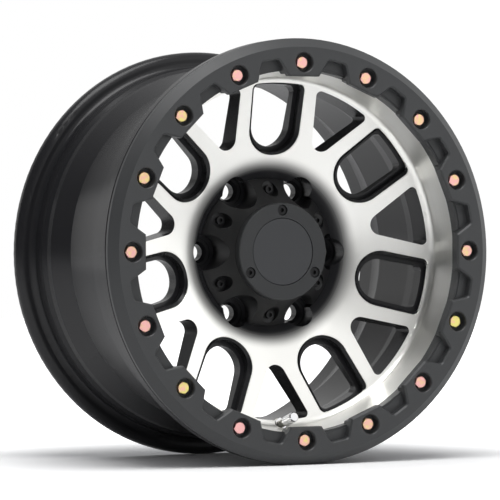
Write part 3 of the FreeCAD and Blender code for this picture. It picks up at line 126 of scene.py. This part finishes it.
def plain_finish(name, colour, rough, shine, grain_mm, depth_mm, metallic=0.0):
    """One colour with a fine grain and a gloss that drifts a little."""
    mat, tree, surface, place = new_material(name)
    grain = add(tree, "ShaderNodeTexNoise",
                {"Vector": place, "Scale": 1 / (grain_mm * MM), "Detail": 3.0, "Roughness": 0.55})
    cloud = add(tree, "ShaderNodeTexNoise", {"Vector": place, "Scale": 1 / CLOUD, "Detail": 2.0})
    gloss = add(tree, "ShaderNodeMapRange",
                {"Value": cloud.outputs["Fac"],
                 "To Min": rough - GLOSS_SWING, "To Max": rough + GLOSS_SWING})
    bump = add(tree, "ShaderNodeBump",
               {"Height": grain.outputs["Fac"], "Distance": depth_mm * MM, "Strength": 1.0})
    tree.links.new(gloss.outputs[0], surface.inputs["Roughness"])
    tree.links.new(bump.outputs[0], surface.inputs["Normal"])
    surface.inputs["Base Color"].default_value = linear(colour)
    surface.inputs["Metallic"].default_value = metallic
    surface.inputs["Specular IOR Level"].default_value = shine
    print(name, "with a grain of", grain_mm, "mm")
    return mat


# powder coat on the ring, sprayed and baked: satin black with a faint orange peel
ring_coat = plain_finish("ring_powder_coat", "3a3b3c", 0.42, 0.35, 0.9, 0.006)
# moulded ABS, finely spark-eroded: a dull black that hides finger marks
cap_plastic = plain_finish("cap_moulded_abs", "1b1b1c", 0.42, 0.35, 0.7, 0.008)
# the same plastic in a lighter black: the bezel stands out from the cap
bezel_plastic = plain_finish("bezel_moulded_abs", "333435", 0.48, 0.3, 0.6, 0.008)
# moulded polycarbonate: smoother and greyer than the ABS round it
disc_plastic = plain_finish("disc_polycarbonate", "3a3b3d", 0.40, 0.3, 0.5, 0.004)
# steel screws with black oxide: dark, still with a metal's gleam
black_oxide = plain_finish("black_oxide_steel", "1c1c1d", 0.35, 0.5, 0.4, 0.006, metallic=0.6)
# vulcanised rubber: nearly black, with no highlight to speak of
rubber = plain_finish("seal_rubber", "121212", 0.7, 0.3, 0.5, 0.02)
# chrome plate on brass: a clear mirror
chrome = plain_finish("chromed_brass", "e4e4e6", 0.12, 0.5, 0.6, 0.002, metallic=1.0)
# nickel plate, on the brass stem and its steel washer: warmer and softer than chrome
nickel = plain_finish("nickelled_brass", "c9c7c0", 0.28, 0.5, 0.4, 0.004, metallic=1.0)
# bare brass, turned: yellow and bright
brass = plain_finish("bare_brass", "c9a45a", 0.25, 0.5, 0.4, 0.004, metallic=1.0)

# %% [markdown]
# ## Dress the plain pieces
#
# Each of these pieces is made of one stuff. Faces could be given materials one
# by one, but one material for a whole piece is enough here, and two pieces of
# the same stuff share it.

# %% Dress the plain pieces
dress(ring_coat, "beadlock_ring")
dress(cap_plastic, "centre_cap")
dress(bezel_plastic, "cap_bezel")
dress(disc_plastic, "cap_disc")
dress(black_oxide, "cap_screws", "bezel_screws")
dress(rubber, "valve_grommet")
dress(chrome, "valve_cap", "valve_nut")
dress(nickel, "valve_stem", "valve_washer")
dress(brass, "valve_core", "valve_pin")

# %% [markdown]
# ## Plated bolts
#
# Yellow zinc is a thin film on steel, and its colour swings from pink to gold
# with the film's thickness. Each bolt came out of the bath a little different.
# Every bolt could have a material of its own, but noise does it in one: a broad
# noise picks a bolt's own tint, a fine one makes it shimmer within the head,
# and both together pick a place on a colour ramp.

# %% Plated bolts
BOLT_APART, SHIMMER = 75 * MM, 3.5 * MM
SHIMMER_SHARE = 0.35
BATCH_SHIFT = (0.11, 0.0, 0.03)
PINK, SALMON, GOLD = (0.46, "f8bcb8"), (0.54, "f5cba6"), (0.63, "efe388")

mat, tree, surface, place = new_material("yellow_zinc_steel")
moved = add(tree, "ShaderNodeMapping", {"Vector": place, "Location": BATCH_SHIFT})
batch = add(tree, "ShaderNodeTexNoise",
            {"Vector": moved.outputs[0], "Scale": 1 / BOLT_APART, "Detail": 0.0})
shimmer = add(tree, "ShaderNodeTexNoise", {"Vector": place, "Scale": 1 / SHIMMER, "Detail": 1.0})
film = add(tree, "ShaderNodeMix",
           {"Factor": SHIMMER_SHARE, "A": batch.outputs["Fac"], "B": shimmer.outputs["Fac"]},
           data_type="FLOAT")
ramp = add(tree, "ShaderNodeValToRGB", {"Fac": film.outputs[0]})
stops = ramp.color_ramp.elements
stops[0].position, stops[0].color = PINK[0], linear(PINK[1])
stops[1].position, stops[1].color = GOLD[0], linear(GOLD[1])
stops.new(SALMON[0]).color = linear(SALMON[1])
tree.links.new(ramp.outputs["Color"], surface.inputs["Base Color"])
surface.inputs["Metallic"].default_value = 1.0
surface.inputs["Roughness"].default_value = 0.3
dress(mat, "ring_bolts")

# %% [markdown]
# ## One casting, two finishes
#
# The casting is painted black all over, and then its face is turned on a
# lathe, which takes the paint off. The faces could be picked by hand, but the
# finish depends only on where a point lies. In the shader, r is the distance
# from the axle and y the depth. The lathe's path is known: a round near the
# hub, a straight cone, and the flare up to the ring.

# %% The lathe's path
SHOULDER_R, SHOULDER_Y = 100 * MM, -44.8 * MM
DISH_ANGLE = math.radians(14.2)
DISH = math.tan(DISH_ANGLE)
ROUND = 62 * MM
ROUND_R = SHOULDER_R + ROUND * math.sin(DISH_ANGLE)
ROUND_Y = SHOULDER_Y + ROUND * math.cos(DISH_ANGLE)
MATH = "ShaderNodeMath"

mat, tree, surface, place = new_material("turned_painted_aluminium")
depth = add(tree, "ShaderNodeSeparateXYZ", {"Vector": place}).outputs["Y"]
flat = add(tree, "ShaderNodeVectorMath", {0: place, 1: (1, 0, 1)}, operation="MULTIPLY").outputs["Vector"]
radius = add(tree, "ShaderNodeVectorMath", {0: flat}, operation="LENGTH").outputs["Value"]
past_shoulder = add(tree, MATH, {0: radius, 1: SHOULDER_R}, operation="SUBTRACT").outputs[0]
cone = add(tree, MATH, {0: past_shoulder, 1: -DISH, 2: SHOULDER_Y}, operation="MULTIPLY_ADD").outputs[0]
off_round = add(tree, MATH, {0: radius, 1: ROUND_R}, operation="SUBTRACT").outputs[0]
off_squared = add(tree, MATH, {0: off_round, 1: off_round}, operation="MULTIPLY").outputs[0]
left_over = add(tree, MATH, {0: ROUND * ROUND, 1: off_squared}, operation="SUBTRACT").outputs[0]
reach = add(tree, MATH, {0: left_over}, operation="SQRT").outputs[0]
bend = add(tree, MATH, {0: ROUND_Y, 1: reach}, operation="SUBTRACT").outputs[0]
near_hub = add(tree, MATH, {0: radius, 1: SHOULDER_R}, operation="LESS_THAN").outputs[0]
path = add(tree, "ShaderNodeMix", {"Factor": near_hub, "A": cone, "B": bend}, data_type="FLOAT").outputs[0]
print("path: round of", round(ROUND / MM), "mm,",
      "then a dish of", round(math.degrees(DISH_ANGLE), 1), "degrees")

# %% [markdown]
# ## Where the metal is bare
#
# A point on the lathe's path is bare metal, and anything deeper is paint. Near
# the hub the metal fades into black paint over a band of radius. This fade is
# painted shade: it stands in for the dark reflection round the cap. The flare is
# one wide band, so a range of depth and of radius marks it.

# %% Where the metal is bare
# from 79 to 97 mm the metal fades into paint: painted shade for the dark reflection round the cap
HUB_SHADE_START_R, HUB_SHADE_END_R = 79 * MM, 97 * MM
WINDOW_R, FLARE_R = 166.4 * MM, 178.0 * MM
FLARE_Y, RING_SEAT_Y = -58.0 * MM, -94.9 * MM
CUT_SLACK = 0.45 * MM

on_path = add(tree, MATH, {0: depth, 1: path, 2: CUT_SLACK}, operation="COMPARE").outputs[0]
# painted shade: the bare metal darkens into black paint towards the hub
painted_hub_shade = add(tree, "ShaderNodeMapRange", {"Value": radius, "From Min": HUB_SHADE_START_R, "From Max": HUB_SHADE_END_R},
              interpolation_type="SMOOTHSTEP").outputs[0]
in_dish = add(tree, MATH, {0: radius, 1: WINDOW_R}, operation="LESS_THAN").outputs[0]
path_with_painted_shade = add(tree, MATH, {0: on_path, 1: painted_hub_shade}, operation="MULTIPLY").outputs[0]
on_face = add(tree, MATH, {0: path_with_painted_shade, 1: in_dish}, operation="MULTIPLY").outputs[0]
flare_deep = add(tree, MATH, {0: depth, 1: (FLARE_Y + RING_SEAT_Y) / 2, 2: (FLARE_Y - RING_SEAT_Y) / 2},
                 operation="COMPARE").outputs[0]
flare_wide = add(tree, MATH, {0: radius, 1: (FLARE_R + WINDOW_R) / 2, 2: (FLARE_R - WINDOW_R) / 2},
                 operation="COMPARE").outputs[0]
in_flare = add(tree, MATH, {0: flare_deep, 1: flare_wide}, operation="MULTIPLY").outputs[0]
turned = add(tree, MATH, {0: on_face, 1: in_flare}, operation="ADD", use_clamp=True).outputs[0]
print("bare metal from r", round(HUB_SHADE_START_R / MM), "to", round(FLARE_R / MM), "mm")

# %% [markdown]
# ## Turned metal and satin paint
#
# A lathe leaves fine rings, and they spread each highlight along the radius.
# The rings could be modelled, but they are far too fine. A noise that runs
# along r alone draws them, and an anisotropic shader spreads the light. Real
# rings are about 0.2 mm apart. They are drawn 0.5 mm apart, still under a pixel
# from this camera, so here only the spread of the light is seen. The paint is a
# satin one with a faint orange peel.

# %% Turned metal and satin paint
LATHE_RING = 0.5 * MM
PEEL = 1.2 * MM
GRAIN_DEPTH = 0.006 * MM
PAINT, METAL_DARK, METAL_LIGHT = linear("212123"), linear("f1f0ec"), linear("fafaf6")
PAINT_ROUGH, METAL_ROUGH = 0.26, 0.36

rings = add(tree, "ShaderNodeTexNoise", {"W": radius, "Scale": 1 / LATHE_RING, "Detail": 2.0},
            noise_dimensions="1D").outputs["Fac"]
peel = add(tree, "ShaderNodeTexNoise", {"Vector": place, "Scale": 1 / PEEL, "Detail": 2.0}).outputs["Fac"]
metal = add(tree, "ShaderNodeMix", {0: rings, 6: METAL_DARK, 7: METAL_LIGHT}, data_type="RGBA").outputs[2]
colour = add(tree, "ShaderNodeMix", {0: turned, 6: PAINT, 7: metal}, data_type="RGBA").outputs[2]
gloss = add(tree, "ShaderNodeMix",
            {"Factor": turned, "A": PAINT_ROUGH, "B": METAL_ROUGH}, data_type="FLOAT")
height = add(tree, "ShaderNodeMix", {"Factor": turned, "A": peel, "B": rings}, data_type="FLOAT")
bump = add(tree, "ShaderNodeBump", {"Height": height.outputs[0], "Distance": GRAIN_DEPTH, "Strength": 1.0})
tree.links.new(colour, surface.inputs["Base Color"])
tree.links.new(turned, surface.inputs["Metallic"])
tree.links.new(gloss.outputs[0], surface.inputs["Roughness"])
tree.links.new(bump.outputs[0], surface.inputs["Normal"])
surface.inputs["Specular IOR Level"].default_value = 0.3
# the rings run round the axle; a quarter turn sets the spread along the radius
around = add(tree, "ShaderNodeTangent", direction_type="RADIAL", axis="Y")
tree.links.new(around.outputs[0], surface.inputs["Tangent"])
surface.inputs["Anisotropic"].default_value = 0.7
surface.inputs["Anisotropic Rotation"].default_value = 0.25
dress(mat, "wheel_casting")

# %% [markdown]
# ## Growing a piece on the valve
#
# A valve cap has fine ribs for the fingers, and the stem carries a thread. Both
# repeat by a rule, so Geometry Nodes make them, and the sizes stay open as
# named inputs. Each tree stands its piece on the valve's own axis, which leans
# towards the axle. The result is kept as a plain mesh, which needs no tree.

# %% Growing a piece on the valve
VALVE_FOOT = Vector((0, -54.1, -171.2)) * MM
# the axis points out of the face and leans 15.55 degrees towards the axle
VALVE_LEAN = math.radians(90 - 15.55)


def grow(name, body, mat, wanted, build):
    """Run a Geometry Nodes tree once and keep its result as a plain mesh on a body."""
    tree = bpy.data.node_groups.new(name, "GeometryNodeTree")
    tree.interface.new_socket("Geometry", in_out="OUTPUT", socket_type="NodeSocketGeometry")
    for key, value in wanted.items():
        kind = "NodeSocketInt" if isinstance(value, int) else "NodeSocketFloat"
        tree.interface.new_socket(key, in_out="INPUT", socket_type=kind)
    inputs = tree.nodes.new("NodeGroupInput").outputs
    shape = build(tree, inputs)
    stood = add(tree, "GeometryNodeTransform",
                {"Geometry": shape, "Translation": VALVE_FOOT, "Rotation": (VALVE_LEAN, 0, 0)})
    real = add(tree, "GeometryNodeRealizeInstances", {"Geometry": stood.outputs[0]})
    painted = add(tree, "GeometryNodeSetMaterial", {"Geometry": real.outputs[0], "Material": mat})
    add(tree, "NodeGroupOutput", {"Geometry": painted.outputs[0]})
    maker = bpy.data.objects.new(name + "_maker", bpy.data.meshes.new(name + "_maker"))
    bpy.context.scene.collection.objects.link(maker)
    modifier = maker.modifiers.new("grow", "NODES")
    modifier.node_group = tree
    for item in tree.interface.items_tree:
        if item.in_out == "INPUT":
            modifier[item.identifier] = wanted[item.name]
    bpy.context.view_layer.update()
    ready = maker.evaluated_get(bpy.context.evaluated_depsgraph_get())
    mesh = bpy.data.meshes.new_from_object(ready)
    bpy.data.objects.remove(maker)
    piece = bpy.data.objects.new(name, mesh)
    bpy.context.scene.collection.objects.link(piece)
    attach(piece, body)
    print(name, len(mesh.polygons), "faces on", body)


print("valve foot at", tuple(round(v / MM, 1) for v in VALVE_FOOT), "mm")

# %% [markdown]
# ## Ribs of the valve cap
#
# The ribs let wet fingers turn the cap. A bump could fake them, but the cap's
# outline would stay smooth. A ring of points carries a thin round bar on each,
# sunk a little more than half into the cap.

# %% Ribs of the valve cap
CAP_FOOT, CAP_TOP, CAP_R = 18.5 * MM, 36.2 * MM, 4.9 * MM
RIB_COUNT = 20
RIB_R, RIB_SINK = 0.42 * MM, 0.12 * MM
RIB_SHORT, RIB_DROP = 3.4 * MM, 0.2 * MM


def ribs(tree, inputs):
    """Bars on a ring of points."""
    bar = add(tree, "GeometryNodeMeshCylinder",
              {"Vertices": 8, "Radius": inputs["Rib radius"], "Depth": inputs["Length"]})
    ring = add(tree, "GeometryNodeMeshCircle",
               {"Vertices": inputs["Count"], "Radius": inputs["Circle radius"]})
    bars = add(tree, "GeometryNodeInstanceOnPoints",
               {"Points": ring.outputs[0], "Instance": bar.outputs["Mesh"]})
    lift = add(tree, "ShaderNodeCombineXYZ", {"Z": inputs["Middle"]})
    return add(tree, "GeometryNodeTransform",
               {"Geometry": bars.outputs[0], "Translation": lift.outputs[0]}).outputs[0]


grow("valve_cap_ribs", "valve_cap", chrome,
     {"Count": RIB_COUNT, "Rib radius": RIB_R, "Circle radius": CAP_R - RIB_SINK,
      "Length": CAP_TOP - CAP_FOOT - RIB_SHORT, "Middle": (CAP_TOP + CAP_FOOT) / 2 - RIB_DROP}, ribs)

# %% [markdown]
# ## Thread of the valve stem
#
# The cap and the nut run on one thread. A real ridge has a sharp section. At
# this size a round one looks the same, so a small circle is swept along a
# spiral and left a little more than half sunk in the stem.

# %% Thread of the valve stem
NUT_TOP, STEM_TOP, STEM_R = 6.2 * MM, 31.0 * MM, 3.9 * MM
PITCH, RIDGE_R, RIDGE_SINK = 0.8 * MM, 0.2 * MM, 0.05 * MM
THREAD_START, THREAD_SHORT = 0.4 * MM, 0.9 * MM


def thread(tree, inputs):
    """A round section swept along a spiral."""
    turns = add(tree, MATH, {0: inputs["Length"], 1: inputs["Pitch"]}, operation="DIVIDE")
    path = add(tree, "GeometryNodeCurveSpiral",
               {"Resolution": 24, "Rotations": turns.outputs[0], "Start Radius": inputs["Stem radius"],
                "End Radius": inputs["Stem radius"], "Height": inputs["Length"]})
    section = add(tree, "GeometryNodeCurvePrimitiveCircle",
                  {"Resolution": 6, "Radius": inputs["Ridge radius"]})
    ridge = add(tree, "GeometryNodeCurveToMesh",
                {"Curve": path.outputs[0], "Profile Curve": section.outputs[0], "Fill Caps": True})
    lift = add(tree, "ShaderNodeCombineXYZ", {"Z": inputs["Start"]})
    return add(tree, "GeometryNodeTransform",
               {"Geometry": ridge.outputs[0], "Translation": lift.outputs[0]}).outputs[0]


grow("valve_thread", "wheel", nickel,
     {"Pitch": PITCH, "Ridge radius": RIDGE_R, "Stem radius": STEM_R - RIDGE_SINK,
      "Start": NUT_TOP + THREAD_START, "Length": STEM_TOP - NUT_TOP - THREAD_SHORT}, thread)

# %% [markdown]
# ## Lip under the cap
#
# A bolt-on cap is often centred by a thin lip that drops into the hub's bore.
# Here the lip is a guess. It closes the thin gaps between the cap's scoops and
# the edge of the bore, where no light comes through. It could be spun from a
# curve, but four corners turned about the axle give the same plain ring.

# %% Lip under the cap
LIP_IN, LIP_OUT = 50.0 * MM, 52.9 * MM
LIP_FRONT, LIP_BACK = -16.9 * MM, -15.9 * MM
LIP_STEPS = 96

corners = [(LIP_IN, LIP_FRONT), (LIP_OUT, LIP_FRONT), (LIP_OUT, LIP_BACK), (LIP_IN, LIP_BACK)]
points, quads = [], []
for step in range(LIP_STEPS):
    angle = math.tau * step / LIP_STEPS
    points += [(r * math.cos(angle), y, r * math.sin(angle)) for r, y in corners]
    here, ahead = 4 * step, 4 * ((step + 1) % LIP_STEPS)
    quads += [(here + i, here + (i + 1) % 4, ahead + (i + 1) % 4, ahead + i) for i in range(4)]
mesh = bpy.data.meshes.new("cap_lip")
mesh.from_pydata(points, [], quads)
mesh.materials.append(cap_plastic)
lip = bpy.data.objects.new("cap_lip", mesh)
bpy.context.scene.collection.objects.link(lip)
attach(lip, "wheel")
print("cap_lip", len(mesh.polygons), "faces")

# %% [markdown]
# ## Camera
#
# A photograph of round things gives away where it was taken from, because each
# circle shows as an ellipse. The camera's place, aim and lens were worked out
# from the wheel's round edges. Three directions make its turn: right, up and
# back.

# %% Camera
CAMERA_PLACE = (-1.4906, -2.9798, -0.0154)
CAMERA_RIGHT = Vector((0.89467, -0.44667, -0.00663))
CAMERA_UP = Vector((0.00357, -0.00769, 0.99996))
SENSOR_MM, LENS_MM = 36, 239.53

right = CAMERA_RIGHT.normalized()
back = right.cross(CAMERA_UP).normalized()
up = back.cross(right).normalized()
camera = bpy.data.objects.new("camera", bpy.data.cameras.new("camera"))
bpy.context.scene.collection.objects.link(camera)
turn = Matrix((right, up, back)).transposed().to_4x4()
camera.matrix_world = Matrix.Translation(CAMERA_PLACE) @ turn
camera.data.sensor_width = SENSOR_MM
camera.data.lens = LENS_MM
bpy.context.scene.camera = camera
print("camera at", tuple(round(v, 3) for v in camera.location))

# %% [markdown]
# ## Floor
#
# The wheel stands on a plain white floor. Near the wheel only the lamps and the
# sky light it, so its shadow is real. Lamps fade with distance. Stronger ones
# would bleach the metal, so further out the floor gets a white glow of its own,
# for camera rays only.

# %% Floor
FLOOR_HALF = 9
GLOW_START, GLOW_FULL = 0.27, 0.6

floor_z = size_at_load[0][2]
mesh = bpy.data.meshes.new("floor")
mesh.from_pydata([(-FLOOR_HALF, -FLOOR_HALF, floor_z), (FLOOR_HALF, -FLOOR_HALF, floor_z),
                  (FLOOR_HALF, FLOOR_HALF, floor_z), (-FLOOR_HALF, FLOOR_HALF, floor_z)],
                 [], [(0, 1, 2, 3)])
floor = bpy.data.objects.new("floor", mesh)
bpy.context.scene.collection.objects.link(floor)
floor_mat, tree, surface, place = new_material("floor_white")
surface.inputs["Base Color"].default_value = linear("ffffff")
surface.inputs["Roughness"].default_value = 0.9
surface.inputs["Specular IOR Level"].default_value = 0.0
surface.inputs["Emission Color"].default_value = linear("ffffff")
away = add(tree, "ShaderNodeVectorMath", {0: place}, operation="LENGTH").outputs["Value"]
far = add(tree, "ShaderNodeMapRange", {"Value": away, "From Min": GLOW_START, "From Max": GLOW_FULL},
          interpolation_type="SMOOTHSTEP").outputs[0]
seen = add(tree, "ShaderNodeLightPath").outputs["Is Camera Ray"]
glow = add(tree, MATH, {0: far, 1: seen}, operation="MULTIPLY").outputs[0]
tree.links.new(glow, surface.inputs["Emission Strength"])
mesh.materials.append(floor_mat)
print("floor at", round(floor_z, 4))

# %% [markdown]
# ## Soft boxes
#
# A large soft box overhead, a little towards the camera, does most of the work
# and gives the dark patch under the wheel. A front box lights the ring. A low
# one behind, at the left, runs a gleam along the barrel, and a weak one at the
# right fills the left spokes. A larger box of the same power is duller in a
# mirror, so the front box is large, to keep its image in the bare metal soft.

# %% Soft boxes
WHEEL_CENTRE = (0, 0, 0)


def soft_box(name, place, aim, width, height, watts):
    """Area light that faces a point."""
    light = bpy.data.lights.new(name, "AREA")
    light.shape = "RECTANGLE"
    light.size, light.size_y, light.energy = width, height, watts
    made = bpy.data.objects.new(name, light)
    made.location = place
    made.rotation_euler = (Vector(aim) - Vector(place)).to_track_quat("-Z", "Y").to_euler()
    bpy.context.scene.collection.objects.link(made)
    print(name, watts, "W")


soft_box("key_box", (-0.4, -0.9, 2.3), WHEEL_CENTRE, 1.6, 1.6, 47)
soft_box("front_box", (1.2, -2.6, 1.3), WHEEL_CENTRE, 3.2, 2.7, 11.5)
soft_box("back_box", (-1.25, 2.35, 0.3), WHEEL_CENTRE, 1.2, 1.0, 2.6)
soft_box("right_box", (2.0, -1.4, 0.15), WHEEL_CENTRE, 1.2, 1.2, 3.4)

# %% [markdown]
# ## White all round
#
# The camera sees white behind the wheel. Metal shows that white too, because
# glossy and transmitted rays are let through to it, but a studio isn't white
# all over: it falls off towards the dark left side, where the camera stands.
# That fall-off gives the turned face its shading. For the soft fill light, the
# sky is brighter above than at the horizon.

# %% White all round
SKY_Z, SKY_LEVEL = (-0.1, 0.7), (0.02, 0.50)
SIDE_RANGE, SIDE_LEVEL = (-0.72, 0.75), (0.03, 1.08)
DEPTH_SHARE = 0.2

world = bpy.data.worlds.new("studio")
bpy.context.scene.world = world
world.use_nodes = True
tree = world.node_tree
tree.nodes.clear()
way = add(tree, "ShaderNodeTexCoord").outputs["Generated"]
axes = add(tree, "ShaderNodeSeparateXYZ", {"Vector": way}).outputs
rays = add(tree, "ShaderNodeLightPath").outputs
level = add(tree, "ShaderNodeMapRange",
            {"Value": axes["Z"], "From Min": SKY_Z[0], "From Max": SKY_Z[1],
             "To Min": SKY_LEVEL[0], "To Max": SKY_LEVEL[1]}).outputs[0]
sky = add(tree, "ShaderNodeBackground", {"Color": linear("fbfcff"), "Strength": level}).outputs[0]
aside = add(tree, MATH, {0: axes["Y"], 1: DEPTH_SHARE, 2: axes["X"]}, operation="MULTIPLY_ADD").outputs[0]
fall = add(tree, "ShaderNodeMapRange",
           {"Value": aside, "From Min": SIDE_RANGE[0], "From Max": SIDE_RANGE[1],
            "To Min": SIDE_LEVEL[0], "To Max": SIDE_LEVEL[1]}).outputs[0]
open_way = add(tree, MATH, {0: fall, 1: rays["Is Camera Ray"]}, operation="MAXIMUM").outputs[0]
white = add(tree, "ShaderNodeBackground", {"Color": linear("ffffff"), "Strength": open_way}).outputs[0]
mirrored = add(tree, MATH, {0: rays["Is Glossy Ray"], 1: rays["Is Transmission Ray"]},
               operation="MAXIMUM").outputs[0]
shown = add(tree, MATH, {0: mirrored, 1: rays["Is Camera Ray"]}, operation="MAXIMUM").outputs[0]
both = add(tree, "ShaderNodeMixShader", {0: shown, 1: sky, 2: white})
add(tree, "ShaderNodeOutputWorld", {"Surface": both.outputs[0]})
bpy.context.scene.view_settings.view_transform = "Standard"
print("view", bpy.context.scene.view_settings.view_transform)
